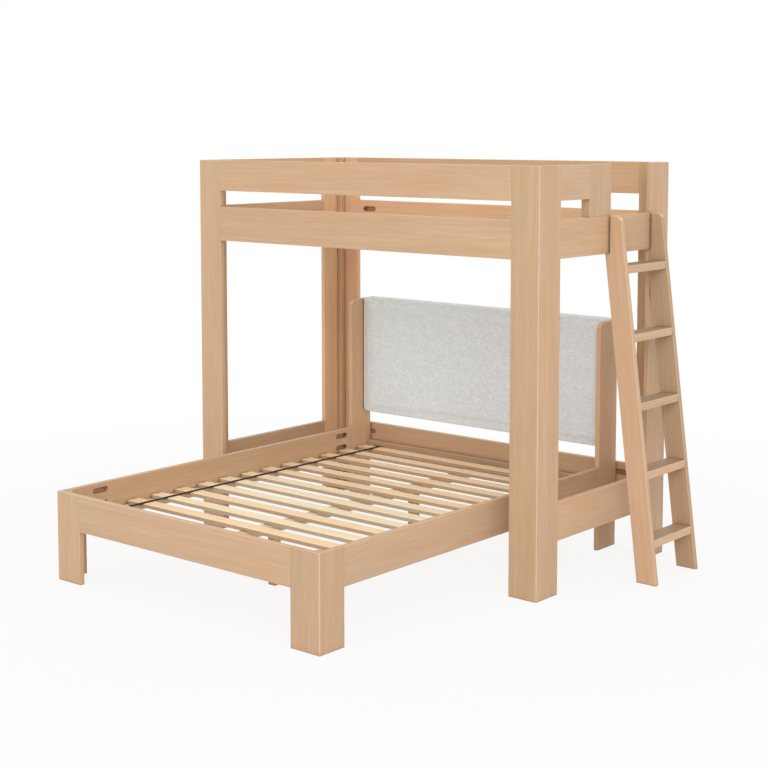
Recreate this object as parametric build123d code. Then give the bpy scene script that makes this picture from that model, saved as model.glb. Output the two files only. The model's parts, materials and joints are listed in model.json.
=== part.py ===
from build123d import *
from math import atan, degrees
import os

# Bunk bed: a high loft bed on four L-section corner posts, with an end ladder, and a separate
# low bed that stands crosswise under it. Millimetres, +Z up, origin at the bottom centre of the
# whole object's box. +X runs along the loft from its plain end to its ladder end, and +Y runs
# from the low bed's foot to the back of the loft.

# Board stock
stock = 24.0
ease = 2.5
ease_share = 0.3
corner_round = 5.0
lap_groove = 1.5
block_side = 30.0
seam = 0.3

# Loft
bed_side_clearance = 89.0
loft_depth = 1073.0
loft_height = 1885.0
post_face_width = 148.0
post_side_width = 163.0
loft_rail_drop = 234.0
loft_rail_height = 170.0
guard_height = 153.0
stretcher_bottom = 240.0
stretcher_height = 173.0
entry_width = 346.0
stile_width = 175.0
backer_thickness = 21.0
backer_width = 120.0
backer_lift = 4.0

# Ladder
ladder_back_gap = 147.0
stringer_spacing = 358.0
stringer_width = 101.0
ladder_foot = 273.0
ladder_head = 63.0
ladder_gap = 9.0
ladder_shoulder_gap = 2.0
stringer_top_radius = 30.0
tread_count = 5
tread_thickness = 36.0
tread_depth = 88.0
top_tread_drop = 221.0
first_tread_height = 202.0
tread_gap = 0.3

# Low bed
bed_width = 1616.0
bed_foot_reach = 1107.0
bed_offset = -12.0
bed_back_gap = 10.0
bed_rail_bottom = 243.0
bed_rail_height = 165.0
leg_face_width = 157.0
leg_side_width = 146.0
upright_depth = 155.0
upright_height = 1115.0
upright_radius = 42.0
head_rail_height = 77.0

# Headboard panel
panel_lift = 167.0
panel_rise = 10.0
panel_side_gap = 4.0
panel_thickness = 68.0
panel_edge_radius = 9.0
panel_crown = 3.0
crown_margin = 18.0
crown_run = 60.0
core_thickness = 15.0
core_margin = 12.0
plate_thickness = 2.5
plate_height = 40.0
plate_lap = 30.0
plate_inset = 110.0
plate_screw_length = 14.0

# Slatted bases
deck_recess = 110.0
slat_width = 70.0
slat_thickness = 18.0
slat_pitch = 149.0
slat_end_gap = 2.0
slat_head_gap = 26.0
ledger_width = 24.0
ledger_height = 38.0
beam_width = 50.0
beam_height = 35.0
lap_height = 18.0
lap_length = 120.0
centre_leg_side = 42.0
centre_leg_pitch = 990.0
strap_width = 25.0
strap_thickness = 1.6
strap_inset = 105.0

# Fasteners
bolt_radius = 4.0
bolt_head_radius = 6.5
bolt_head_height = 8.0
bolt_flange_radius = 7.5
bolt_flange_thickness = 2.0
bolt_reach = 18.0
socket_radius = 2.9
socket_depth = 4.5
bore_clearance = 0.3
fit_gap = 0.05
insert_radius = 6.0
insert_length = 20.0
pocket_length = 90.0
pocket_height = 28.0
pocket_setback = 40.0
seat_depth = 1.0
pocket_drop = 48.0
bed_pocket_drop = 35.0
pocket_pitch = 64.0
end_pocket_drop = 85.0
end_pocket_pitch = 54.0
dowel_radius = 4.0
dowel_length = 40.0
dowel_end_gap = 0.5
dowel_inset = 32.0
tread_dowel_length = 34.0
tread_dowel_depth = 15.0
tread_dowel_pitch = 44.0
ladder_bolt_inset = 22.0
ladder_bolt_lift = 30.0
spacer_radius = 9.0
screw_radius = 2.0
screw_head_radius = 4.2
screw_head_height = 2.6
screw_length = 38.0

# Places worked out from the sizes above
loft_length = bed_width + 2 * (bed_side_clearance + post_face_width)
overall_x = loft_length + ladder_foot
overall_y = bed_foot_reach + loft_depth
loft_left = -overall_x / 2
loft_right = loft_left + loft_length
loft_back = overall_y / 2
loft_front = loft_back - loft_depth
loft_inner_left = loft_left + stock
loft_inner_right = loft_right - stock
loft_inner_front = loft_front + stock
loft_inner_back = loft_back - stock
loft_mid_x = (loft_left + loft_right) / 2
loft_mid_y = (loft_front + loft_back) / 2
loft_rail_top = loft_height - loft_rail_drop
loft_rail_bottom = loft_rail_top - loft_rail_height
guard_bottom = loft_height - guard_height
face_left_end = loft_left + post_face_width
face_right_end = loft_right - post_face_width
side_front_end = loft_front + post_side_width
side_back_end = loft_back - post_side_width
upper_deck = loft_rail_top - deck_recess

bed_mid_x = loft_mid_x + bed_offset
bed_left = bed_mid_x - bed_width / 2
bed_right = bed_mid_x + bed_width / 2
bed_inner_left = bed_left + stock
bed_inner_right = bed_right - stock
bed_front = loft_front - bed_foot_reach
bed_inner_front = bed_front + stock
bed_back = loft_inner_back - bed_back_gap
bed_inner_back = bed_back - stock
bed_rail_top = bed_rail_bottom + bed_rail_height
bed_deck = bed_rail_top - deck_recess
leg_side_end = bed_front + leg_side_width
upright_front = bed_back - upright_depth
head_rail_top = bed_rail_bottom + head_rail_height
panel_bottom = head_rail_top + panel_lift

ladder_right = loft_back - ladder_back_gap - stock
stringer_y = [ladder_right - stringer_spacing, ladder_right]
ladder_slope = (ladder_foot - ladder_head) / loft_rail_top
top_tread_height = loft_rail_top - top_tread_drop
tread_rise = (top_tread_height - first_tread_height) / (tread_count - 1)
stile_back = side_back_end - entry_width
stile_front = stile_back - stile_width


def box(x, y, z, round_by=ease):
    """A board between pairs of coordinates, with every edge eased."""
    size = [x[1] - x[0], y[1] - y[0], z[1] - z[0]]
    middle = [(x[0] + x[1]) / 2, (y[0] + y[1]) / 2, (z[0] + z[1]) / 2]
    solid = Pos(*middle) * Box(*size)
    if round_by > 0:
        solid = fillet(solid.edges(), min(round_by, min(size) * ease_share))
    return solid


def rod(radius, start, axis, length):
    """A cylinder from a point, along X, Y or Z, in the direction of the sign of its length."""
    turn = {"x": Rot(0, 90, 0), "y": Rot(-90, 0, 0), "z": Rot(0, 0, 0)}[axis]
    if length < 0:
        shift = {"x": (length, 0, 0), "y": (0, length, 0), "z": (0, 0, length)}[axis]
        start = [a + b for a, b in zip(start, shift)]
    shape = Cylinder(radius, abs(length), align=(Align.CENTER, Align.CENTER, Align.MIN))
    return Pos(*start) * turn * shape


def along(point, axis, distance):
    """A point moved along one axis."""
    moved = list(point)
    moved["xyz".index(axis)] += distance
    return moved


def corner_boards(corner, sign, widths, height, lapped=False):
    """Two boards that make an L in plan, from its outer corner inwards. They are mitred, or
    the face board laps the side board's edge with a fine groove outside."""
    wide, deep = widths
    outline = [(0, 0), (wide, 0), (wide, stock), (stock, stock), (stock, deep), (0, deep)]
    place = Pos(corner[0], corner[1], 0)

    def prism(points):
        turned = [(px * sign[0], py * sign[1]) for px, py in points]
        return extrude(make_face(Polyline(*turned, close=True)), height)

    shape = prism(outline)
    upright = shape.edges().filter_by(Axis.Z)
    outer = upright.sort_by_distance((0, 0, height / 2))[0]
    shape = fillet(outer, corner_round)
    ends = shape.edges().filter_by(Axis.Z)
    ends = [e for e in ends if max(abs(e.center().X) / wide, abs(e.center().Y) / deep) > 0.99]
    shape = fillet(ends, ease)
    shape = fillet(shape.faces().sort_by(Axis.Z)[-1].edges(), ease)
    reach = 2 * max(wide, deep)
    if lapped:
        seat = [(reach, stock), (lap_groove, stock)]
        face_half = prism([(0, 0), (reach, 0), *seat, (0, stock - lap_groove)])
        side_half = prism([(reach, reach), *seat, (0, stock + lap_groove), (0, reach)])
    else:
        face_half = prism([(0, 0), (reach, 0), (reach, reach)])
        side_half = prism([(0, 0), (reach, reach), (0, reach)])
    return place * (shape & face_half), place * (shape & side_half)


def corner_block(corner, sign, height):
    """The square block that backs a mitred corner."""
    x = sorted([corner[0] + sign[0] * stock, corner[0] + sign[0] * (stock + block_side)])
    y = sorted([corner[1] + sign[1] * stock, corner[1] + sign[1] * (stock + block_side)])
    return box(x, y, (0, height - ease))


class Joint:
    """One bolt from a rail's pocket, through the rail's end, into an insert in its neighbour."""

    def __init__(self, end, axis, inward, host):
        self.end = end
        self.axis = axis
        self.inward = inward
        self.host = host

    def bolt(self, grip=pocket_setback):
        start = along(self.end, self.axis, -self.inward * bolt_reach)
        shank = rod(bolt_radius, start, self.axis, self.inward * (bolt_reach + grip))
        seat = along(self.end, self.axis, self.inward * grip)
        flange = rod(bolt_flange_radius, seat, self.axis, self.inward * bolt_flange_thickness)
        crown = along(seat, self.axis, self.inward * bolt_flange_thickness)
        head = rod(bolt_head_radius, crown, self.axis, self.inward * bolt_head_height)
        top = along(crown, self.axis, self.inward * bolt_head_height)
        socket = rod(socket_radius, top, self.axis, -self.inward * socket_depth)
        return shank + flange + head - socket

    def insert(self):
        sleeve = rod(insert_radius, self.end, self.axis, -self.inward * insert_length)
        bore = rod(bolt_radius + fit_gap, self.end, self.axis, -self.inward * insert_length)
        return sleeve - bore

    def insert_hole(self):
        depth = insert_length + fit_gap
        return rod(insert_radius + fit_gap, self.end, self.axis, -self.inward * depth)

    def rail_cut(self, facing):
        """The oval pocket, the flat seat at its end and the bolt's bore."""
        bore = rod(bolt_radius + bore_clearance, self.end, self.axis, self.inward * pocket_setback)
        reach = pocket_setback + seat_depth + pocket_length / 2
        middle = along(self.end, self.axis, self.inward * reach)
        across = "y" if self.axis == "x" else "x"
        depth = stock / 2 + bolt_head_radius + fit_gap
        mouth = along(middle, across, facing * (stock / 2 + ease))
        half = (pocket_length - pocket_height) / 2
        ends = [along(mouth, self.axis, -half), along(mouth, self.axis, half)]
        pocket = rod(pocket_height / 2, ends[0], across, -facing * (depth + ease))
        pocket += rod(pocket_height / 2, ends[1], across, -facing * (depth + ease))
        floor = along(ends[1], across, -facing * (depth + ease))
        spans = [sorted(pair) for pair in zip(ends[0], floor)]
        spans[2] = [mouth[2] - pocket_height / 2, mouth[2] + pocket_height / 2]
        pocket += box(*spans, 0)
        seat_start = along(self.end, self.axis, self.inward * pocket_setback)
        seat_length = bolt_flange_thickness + bolt_head_height
        seat_radius = bolt_flange_radius + bore_clearance
        seat = rod(seat_radius, seat_start, self.axis, self.inward * seat_length)
        return [pocket, bore, seat]


class Rail:
    """A board between two neighbours, with stacked bolt pockets on its inner face."""

    def __init__(self, axis, span, across, z, facing, levels, hosts):
        self.axis = axis
        self.span = span
        self.across = across
        self.z = z
        self.facing = facing
        self.joints = []
        for place, inward, host in ((span[0], 1, hosts[0]), (span[1], -1, hosts[1])):
            for level in levels:
                centre = (across[0] + across[1]) / 2
                end = [place, centre, level] if axis == "x" else [centre, place, level]
                self.joints.append(Joint(end, axis, inward, host))

    def solid(self):
        if self.axis == "x":
            shape = box(self.span, self.across, self.z)
        else:
            shape = box(self.across, self.span, self.z)
        for joint in self.joints:
            for cut in joint.rail_cut(self.facing):
                shape -= cut
        return shape


class Dowel:
    """A plain dowel across a joint, at a point on the joint's face."""

    def __init__(self, point, axis, length, depth, members):
        self.start = along(point, axis, -depth)
        self.axis = axis
        self.length = length
        self.members = members

    def pin(self):
        return rod(dowel_radius, self.start, self.axis, self.length)

    def hole(self):
        start = along(self.start, self.axis, -dowel_end_gap)
        return rod(dowel_radius + fit_gap, start, self.axis, self.length + 2 * dowel_end_gap)


def guard_levels(low, high):
    """The two heights of a guard board's dowels."""
    return [low + dowel_inset, high - dowel_inset]


def slat_starts(low, high, low_gap, high_gap):
    """Lower edges of evenly pitched slats between two faces, counted from the upper one."""
    last = high - high_gap - slat_width
    count = int((last - low - low_gap) // slat_pitch) + 1
    return [last - i * slat_pitch for i in reversed(range(count))]


def centred_starts(low, high, gap):
    """Lower edges of evenly pitched slats, centred between two faces."""
    starts = slat_starts(low, high, gap, gap)
    shift = (low + high - starts[0] - starts[-1] - slat_width) / 2
    return [start + shift for start in starts]


def slat_screw(point):
    """A countersunk screw, its head level with the slat's top."""
    head = Pos(point[0], point[1], point[2] - screw_head_height / 2)
    head = head * Cone(screw_radius, screw_head_radius, screw_head_height)
    return head + rod(screw_radius, point, "z", -screw_length)


def screw_hole(point):
    """The hole that a slat screw fills, just clear of it."""
    head = Pos(point[0], point[1], point[2] - screw_head_height / 2)
    head = head * Cone(screw_radius + fit_gap, screw_head_radius + fit_gap, screw_head_height)
    return head + rod(screw_radius + fit_gap, point, "z", -(screw_length + dowel_end_gap))


def plate_screw(point):
    """A countersunk screw that runs forward from the back face of a plate."""
    head = Pos(point[0], point[1] - screw_head_height / 2, point[2]) * Rot(-90, 0, 0)
    head = head * Cone(screw_radius, screw_head_radius, screw_head_height)
    return head + rod(screw_radius, point, "y", -plate_screw_length)


def plate_hole(point):
    """The hole that a plate screw fills, just clear of it."""
    head = Pos(point[0], point[1] - screw_head_height / 2, point[2]) * Rot(-90, 0, 0)
    head = head * Cone(screw_radius + fit_gap, screw_head_radius + fit_gap, screw_head_height)
    return head + rod(screw_radius + fit_gap, point, "y", -(plate_screw_length + fit_gap))


def grouped(solids):
    """Separate solids kept in one node."""
    return Compound(children=list(solids))


nodes = {}
holes = {}


def cut_later(name, shape):
    holes.setdefault(name, []).append(shape)


# Corner posts of the loft
def make_posts():
    blocks = []
    for end, x, sx in (("left", loft_left, 1), ("right", loft_right, -1)):
        for side, y, sy in (("front", loft_front, 1), ("back", loft_back, -1)):
            widths = (post_face_width, post_side_width)
            face, flank = corner_boards((x, y), (sx, sy), widths, loft_height)
            nodes[f"post_{side}_{end}_face"] = face
            nodes[f"post_{side}_{end}_side"] = flank
            blocks.append(corner_block((x, y), (sx, sy), loft_height))
    nodes["post_corner_blocks"] = grouped(blocks)


# Foot legs of the low bed
def make_foot_legs():
    blocks = []
    for end, x, sx in (("left", bed_left, 1), ("right", bed_right, -1)):
        widths = (leg_face_width, leg_side_width)
        face, flank = corner_boards((x, bed_front), (sx, 1), widths, bed_rail_top, lapped=True)
        nodes[f"foot_leg_{end}_face"] = face
        nodes[f"foot_leg_{end}_side"] = flank
        blocks.append(corner_block((x, bed_front), (sx, 1), bed_rail_top))
    nodes["foot_leg_blocks"] = grouped(blocks)


def two_levels(top, drop, pitch=pocket_pitch):
    """Heights of two stacked pockets below a rail's top."""
    return [top - drop, top - drop - pitch]


def loft_rails():
    """Rails and low stretchers of the loft, by node name."""
    along_x = (face_left_end, face_right_end)
    along_y = (side_front_end, side_back_end)
    front_y = (loft_front, loft_inner_front)
    back_y = (loft_inner_back, loft_back)
    left_x = (loft_left, loft_inner_left)
    right_x = (loft_inner_right, loft_right)
    rail_z = (loft_rail_bottom, loft_rail_top)
    low_z = (stretcher_bottom, stretcher_bottom + stretcher_height)
    high = two_levels(loft_rail_top, pocket_drop)
    low = two_levels(low_z[1], pocket_drop)
    # The right rail's pockets stay high, clear of the ladder's bolts
    end_high = two_levels(loft_rail_top, end_pocket_drop, end_pocket_pitch)
    end_low = two_levels(low_z[1], end_pocket_drop, end_pocket_pitch)
    front = ("post_front_left_face", "post_front_right_face")
    back = ("post_back_left_face", "post_back_right_face")
    left = ("post_front_left_side", "post_back_left_side")
    right = ("post_front_right_side", "post_back_right_side")
    return {
        "front_rail": Rail("x", along_x, front_y, rail_z, 1, high, front),
        "back_rail": Rail("x", along_x, back_y, rail_z, -1, high, back),
        "left_rail": Rail("y", along_y, left_x, rail_z, 1, end_high, left),
        "right_rail": Rail("y", along_y, right_x, rail_z, -1, high, right),
        "back_stretcher": Rail("x", along_x, back_y, low_z, -1, low, back),
        "left_stretcher": Rail("y", along_y, left_x, low_z, 1, end_low, left),
        "right_stretcher": Rail("y", along_y, right_x, low_z, -1, end_low, right),
    }


def bed_rails():
    """Side, foot and head rails of the low bed, by node name."""
    foot_span = (bed_left + leg_face_width, bed_right - leg_face_width)
    side_span = (leg_side_end, upright_front)
    head_span = (bed_inner_left, bed_inner_right)
    z = (bed_rail_bottom, bed_rail_top)
    levels = two_levels(bed_rail_top, bed_pocket_drop)
    head_level = [(bed_rail_bottom + head_rail_top) / 2]
    foot = ("foot_leg_left_face", "foot_leg_right_face")
    left = ("foot_leg_left_side", "head_upright_left")
    right = ("foot_leg_right_side", "head_upright_right")
    head = ("head_upright_left", "head_upright_right")
    return {
        "foot_rail": Rail("x", foot_span, (bed_front, bed_inner_front), z, 1, levels, foot),
        "bed_rail_left": Rail("y", side_span, (bed_left, bed_inner_left), z, 1, levels, left),
        "bed_rail_right": Rail("y", side_span, (bed_inner_right, bed_right), z, -1, levels, right),
        "head_rail": Rail("x", head_span, (bed_inner_back, bed_back),
                          (bed_rail_bottom, head_rail_top), -1, head_level, head),
    }


def add_rails(rails, bolts, inserts):
    """Rail nodes, with their bolts and inserts, and the inserts' holes."""
    for name, rail in rails.items():
        nodes[name] = rail.solid()
        for joint in rail.joints:
            bolts.append(joint.bolt())
            inserts.append(joint.insert())
            cut_later(joint.host, joint.insert_hole())


# Head uprights of the low bed
def make_uprights():
    for end, x in (("left", (bed_left, bed_inner_left)), ("right", (bed_inner_right, bed_right))):
        shape = box(x, (upright_front, bed_back), (0, upright_height), 0)
        edges = shape.edges().filter_by(Axis.X).group_by(Axis.Z)[-1]
        shape = fillet(edges.sort_by(Axis.Y)[0], upright_radius)
        outer = shape.faces().filter_by(Axis.X)
        rim = [e for f in outer for e in f.edges()]
        nodes[f"head_upright_{end}"] = fillet(rim, ease)


# Guard boards above the loft's rails
def make_guards():
    z = (guard_bottom, loft_height)
    front_y = (loft_front, loft_inner_front)
    back_y = (loft_inner_back, loft_back)
    left_x = (loft_left, loft_inner_left)
    right_x = (loft_inner_right, loft_right)
    along_x = (face_left_end, face_right_end)
    along_y = (side_front_end, side_back_end)
    nodes["front_guard"] = box(along_x, front_y, z)
    nodes["back_guard"] = box(along_x, back_y, z)
    nodes["left_guard"] = box(left_x, along_y, z)
    nodes["right_guard"] = box(right_x, (side_front_end, stile_front), z)
    nodes["guard_stile"] = box(right_x, (stile_front, stile_back), (loft_rail_top, loft_height))
    backer_x = (loft_inner_right - backer_thickness, loft_inner_right)
    backer_y = (stile_front, stile_front + backer_width)
    nodes["stile_backer"] = box(backer_x, backer_y, (upper_deck + backer_lift, loft_height - ease))


def guard_dowels():
    """Dowels at the ends of the guard boards and under the stile."""
    pins = []
    depth = dowel_length / 2
    centre = {"front": loft_front + stock / 2, "back": loft_back - stock / 2,
              "left": loft_left + stock / 2, "right": loft_right - stock / 2}
    for z in guard_levels(guard_bottom, loft_height):
        for side in ("front", "back"):
            for end, x in (("left", face_left_end), ("right", face_right_end)):
                members = (f"post_{side}_{end}_face", f"{side}_guard")
                pins.append(Dowel([x, centre[side], z], "x", dowel_length, depth, members))
        for side, y in (("front", side_front_end), ("back", side_back_end)):
            members = (f"post_{side}_left_side", "left_guard")
            pins.append(Dowel([centre["left"], y, z], "y", dowel_length, depth, members))
        x = centre["right"]
        members = ("post_front_right_side", "right_guard")
        pins.append(Dowel([x, side_front_end, z], "y", dowel_length, depth, members))
        members = ("right_guard", "guard_stile")
        pins.append(Dowel([x, stile_front, z], "y", dowel_length, depth, members))
    for y in (stile_front + dowel_inset, stile_back - dowel_inset):
        point = [centre["right"], y, loft_rail_top]
        pins.append(Dowel(point, "z", dowel_length, depth, ("right_rail", "guard_stile")))
    return pins


def add_dowels(name, pins):
    for pin in pins:
        for member in pin.members:
            cut_later(member, pin.hole())
    nodes[name] = grouped([pin.pin() for pin in pins])


# Ladder
def stringer_front(z):
    return loft_right + ladder_foot - ladder_slope * z


def stringer_back(z):
    return stringer_front(z) - stringer_width


def make_stringer(y, beside_post):
    """A leaning board, cut upright behind so that its head stands before the end rail."""
    shoulder = loft_rail_bottom - ladder_shoulder_gap
    upright = loft_right + ladder_gap
    top = loft_rail_top
    points = [(stringer_front(0), 0), (stringer_front(top), top), (upright, top),
              (upright, shoulder)]
    if beside_post:
        trim = loft_right + seam
        points += [(trim, shoulder), (trim, (stringer_back(0) - trim) / ladder_slope)]
    else:
        points.append((stringer_back(shoulder), shoulder))
    points.append((stringer_back(0), 0))
    face = make_face(Polyline(*[(px, 0, pz) for px, pz in points], close=True))
    shape = Pos(0, y + stock, 0) * extrude(face, stock, dir=(0, -1, 0))
    nose = shape.edges().filter_by(Axis.Y).sort_by_distance((stringer_front(top), y, top))[0]
    shape = fillet(nose, stringer_top_radius)
    sides = shape.faces().filter_by(Axis.Y)
    return fillet([e for f in sides for e in f.edges()], ease)


def tread_heights():
    return [top_tread_height - i * tread_rise for i in reversed(range(tread_count))]


def make_ladder():
    names = ("ladder_stringer_left", "ladder_stringer_right")
    for name, y in zip(names, stringer_y):
        nodes[name] = make_stringer(y, y + stock > side_back_end)
    span = (stringer_y[0] + stock, stringer_y[1])
    inner = (span[0] + tread_gap, span[1] - tread_gap)
    pins = []
    depth = tread_dowel_depth
    for number, top in enumerate(tread_heights(), start=1):
        front = stringer_front(top)
        name = f"ladder_tread_{number}"
        nodes[name] = box((front - tread_depth, front), inner, (top - tread_thickness, top))
        middle = front - tread_depth / 2
        for x in (middle - tread_dowel_pitch / 2, middle + tread_dowel_pitch / 2):
            z = top - tread_thickness / 2
            near = Dowel([x, span[0], z], "y", tread_dowel_length, depth, (names[0], name))
            far_depth = tread_dowel_length - depth
            far = Dowel([x, span[1], z], "y", tread_dowel_length, far_depth, (names[1], name))
            pins += [near, far]
    add_dowels("tread_dowels", pins)


def add_ladder_bolts(bolts, inserts):
    """Bolts from inside the loft's end into the stringers' upright edges, with spacers."""
    spacers = []
    names = ("ladder_stringer_left", "ladder_stringer_right")
    recess = bolt_flange_thickness + bolt_head_height + fit_gap
    for y, stringer in zip(stringer_y, names):
        middle = y + stock / 2
        for z in (upper_deck + ladder_bolt_lift, loft_rail_top - ladder_bolt_inset):
            joint = Joint([loft_right + ladder_gap, middle, z], "x", -1, stringer)
            bolts.append(joint.bolt(ladder_gap + stock - recess))
            inserts.append(joint.insert())
            cut_later(stringer, joint.insert_hole())
            face = [loft_right, middle, z]
            inside = [loft_inner_right - ease, middle, z]
            for carrier in ("right_rail", "post_back_right_side"):
                cut_later(carrier, rod(bolt_radius + bore_clearance, face, "x", -stock))
                head_radius = bolt_flange_radius + bore_clearance
                cut_later(carrier, rod(head_radius, inside, "x", recess + ease))
            ring = rod(spacer_radius, face, "x", ladder_gap)
            spacers.append(ring - rod(bolt_radius + bore_clearance, face, "x", ladder_gap))
    nodes["ladder_spacers"] = grouped(spacers)


# Slatted base of the loft, its slats across the depth
def make_upper_base():
    under = upper_deck - slat_thickness
    z = (under - ledger_height, under)
    x = (loft_inner_left, loft_inner_right)
    inset = block_side + slat_end_gap
    front = box((x[0] + inset, x[1] - inset), (loft_inner_front, loft_inner_front + ledger_width), z)
    back = box((x[0] + inset, x[1] - inset), (loft_inner_back - ledger_width, loft_inner_back), z)
    beam_z = (under - beam_height, under)
    lap_z = (beam_z[0], beam_z[0] + lap_height)
    lap_y = (loft_mid_y - lap_length / 2, loft_mid_y + lap_length / 2)
    beam_y = (loft_mid_y - beam_width / 2, loft_mid_y + beam_width / 2)
    laps = [box((x[0], x[0] + ledger_width), lap_y, lap_z),
            box((x[1] - ledger_width, x[1]), lap_y, lap_z)]
    nodes["upper_ledgers"] = grouped([front, back] + laps)
    beam = box((x[0] + seam, x[1] - seam), beam_y, beam_z)
    for low in (x[0], x[1] - ledger_width):
        notch_x = (low - seam, low + ledger_width + seam)
        beam -= box(notch_x, (beam_y[0] - seam, beam_y[1] + seam), (lap_z[0] - seam, lap_z[1]), 0)
    nodes["upper_beam"] = beam
    slat_y = (loft_inner_front + slat_end_gap, loft_inner_back - slat_end_gap)
    slats = []
    screws = []
    screw_y = (loft_inner_front + ledger_width / 2, loft_inner_back - ledger_width / 2)
    for start in centred_starts(x[0], x[1], inset):
        slat = box((start, start + slat_width), slat_y, (under, upper_deck))
        for y in screw_y:
            point = [start + slat_width / 2, y, upper_deck]
            screws.append(slat_screw(point))
            slat -= screw_hole(point)
            cut_later("upper_ledgers", screw_hole(point))
        slats.append(slat)
    nodes["upper_slats"] = grouped(slats)
    nodes["upper_slat_screws"] = grouped(screws)


# Slatted base of the low bed, its slats across the width
def make_bed_base(screws):
    under = bed_deck - slat_thickness
    z = (under - ledger_height, under)
    y = (bed_inner_front, bed_inner_back)
    ledger_y = (y[0] + block_side + slat_end_gap, y[1])
    left = box((bed_inner_left, bed_inner_left + ledger_width), ledger_y, z)
    right = box((bed_inner_right - ledger_width, bed_inner_right), ledger_y, z)
    beam_x = (bed_mid_x - beam_width / 2, bed_mid_x + beam_width / 2)
    beam_z = (under - beam_height, under)
    lap_x = (bed_mid_x - lap_length / 2, bed_mid_x + lap_length / 2)
    lap_z = (beam_z[0], beam_z[0] + lap_height)
    laps = [box(lap_x, (y[0], y[0] + ledger_width), lap_z),
            box(lap_x, (y[1] - ledger_width, y[1]), lap_z)]
    nodes["bed_ledgers"] = grouped([left, right] + laps)
    beam = box(beam_x, (y[0] + seam, y[1] - seam), beam_z)
    for low in (y[0], y[1] - ledger_width):
        notch_y = (low - seam, low + ledger_width + seam)
        beam -= box((beam_x[0] - seam, beam_x[1] + seam), notch_y, (lap_z[0] - seam, lap_z[1]), 0)
    nodes["bed_beam"] = beam
    legs = []
    half = centre_leg_side / 2
    middle = (y[0] + y[1]) / 2
    for at in (middle - centre_leg_pitch / 2, middle + centre_leg_pitch / 2):
        leg_x = (bed_mid_x - half, bed_mid_x + half)
        legs.append(box(leg_x, (at - half, at + half), (0, beam_z[0])))
    nodes["bed_centre_legs"] = grouped(legs)
    slats = []
    starts = slat_starts(y[0], y[1], block_side + slat_end_gap, slat_head_gap)
    screw_x = (bed_inner_left + ledger_width / 2, bed_inner_right - ledger_width / 2)
    slat_x = (bed_inner_left + slat_end_gap, bed_inner_right - slat_end_gap)
    for start in starts:
        slat = box(slat_x, (start, start + slat_width), (under, bed_deck))
        for x in screw_x:
            point = [x, start + slat_width / 2, bed_deck]
            screws.append(slat_screw(point))
            slat -= screw_hole(point)
            cut_later("bed_ledgers", screw_hole(point))
        slats.append(slat)
    nodes["bed_slats"] = grouped(slats)
    strap_y = (starts[0] + ease, starts[-1] + slat_width - ease)
    strap_z = (bed_deck, bed_deck + strap_thickness)
    straps = []
    for centre in (slat_x[0] + strap_inset, slat_x[1] - strap_inset):
        strap_x = (centre - strap_width / 2, centre + strap_width / 2)
        straps.append(box(strap_x, strap_y, strap_z, 0))
    nodes["slat_straps"] = grouped(straps)


# Upholstered headboard panel and the plates that hold it
def make_headboard(screws):
    x = (bed_inner_left + panel_side_gap, bed_inner_right - panel_side_gap)
    z = (panel_bottom, upright_height + panel_rise)
    front = bed_back - panel_thickness
    size = (x[1] - x[0], z[1] - z[0])

    def outline(inset, depth):
        frame = Plane(origin=(bed_mid_x, front + depth, (z[0] + z[1]) / 2), x_dir=(1, 0, 0),
                      z_dir=(0, -1, 0))
        shape = RectangleRounded(size[0] - 2 * inset, size[1] - 2 * inset, panel_edge_radius)
        return frame * shape

    pad = extrude(outline(0, panel_thickness), panel_thickness - panel_crown)
    rim = pad.faces().sort_by(Axis.Y)[0].edges()
    pad = fillet(rim, panel_edge_radius - ease)
    pad += loft([outline(crown_margin, panel_crown), outline(crown_run, 0)], ruled=True)
    core_x = (x[0] + core_margin, x[1] - core_margin)
    core_z = (z[0] + core_margin, z[1] - core_margin)
    core_front = bed_back - core_thickness
    nodes["headboard_pad"] = pad - box(core_x, (core_front, bed_back + ease), core_z, 0)
    nodes["headboard_core"] = box(core_x, (core_front, bed_back), core_z, 0)
    plates = []
    reach = panel_side_gap + core_margin + plate_lap
    for sign, inner in ((1, bed_inner_left), (-1, bed_inner_right)):
        plate_x = sorted((inner - sign * (stock - ease), inner + sign * reach))
        for middle in (z[0] + plate_inset, z[1] - plate_inset):
            plate_z = (middle - plate_height / 2, middle + plate_height / 2)
            plate = box(plate_x, (bed_back, bed_back + plate_thickness), plate_z, 0)
            side = "left" if sign > 0 else "right"
            spots = {f"head_upright_{side}": inner - sign * stock / 2,
                     "headboard_core": inner + sign * (reach - plate_lap / 2)}
            for carrier, spot in spots.items():
                for lift in (-plate_height / 4, plate_height / 4):
                    point = [spot, bed_back + plate_thickness, middle + lift]
                    screws.append(plate_screw(point))
                    plate -= plate_hole(point)
                    cut_later(carrier, plate_hole(point))
            plates.append(plate)
    nodes["headboard_plates"] = grouped(plates)


def apply_holes():
    """Cuts each node's bolt, dowel and screw holes."""
    for name, cuts in holes.items():
        shape = nodes[name]
        solids = shape.solids()
        result = []
        for solid in solids:
            bounds = solid.bounding_box()
            for cut in cuts:
                near = cut.bounding_box()
                if near.min.X > bounds.max.X or near.max.X < bounds.min.X:
                    continue
                if near.min.Y > bounds.max.Y or near.max.Y < bounds.min.Y:
                    continue
                if near.min.Z > bounds.max.Z or near.max.Z < bounds.min.Z:
                    continue
                solid = solid - cut
            result += solid.solids()
        nodes[name] = grouped(result) if len(result) > 1 else result[0]


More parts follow.
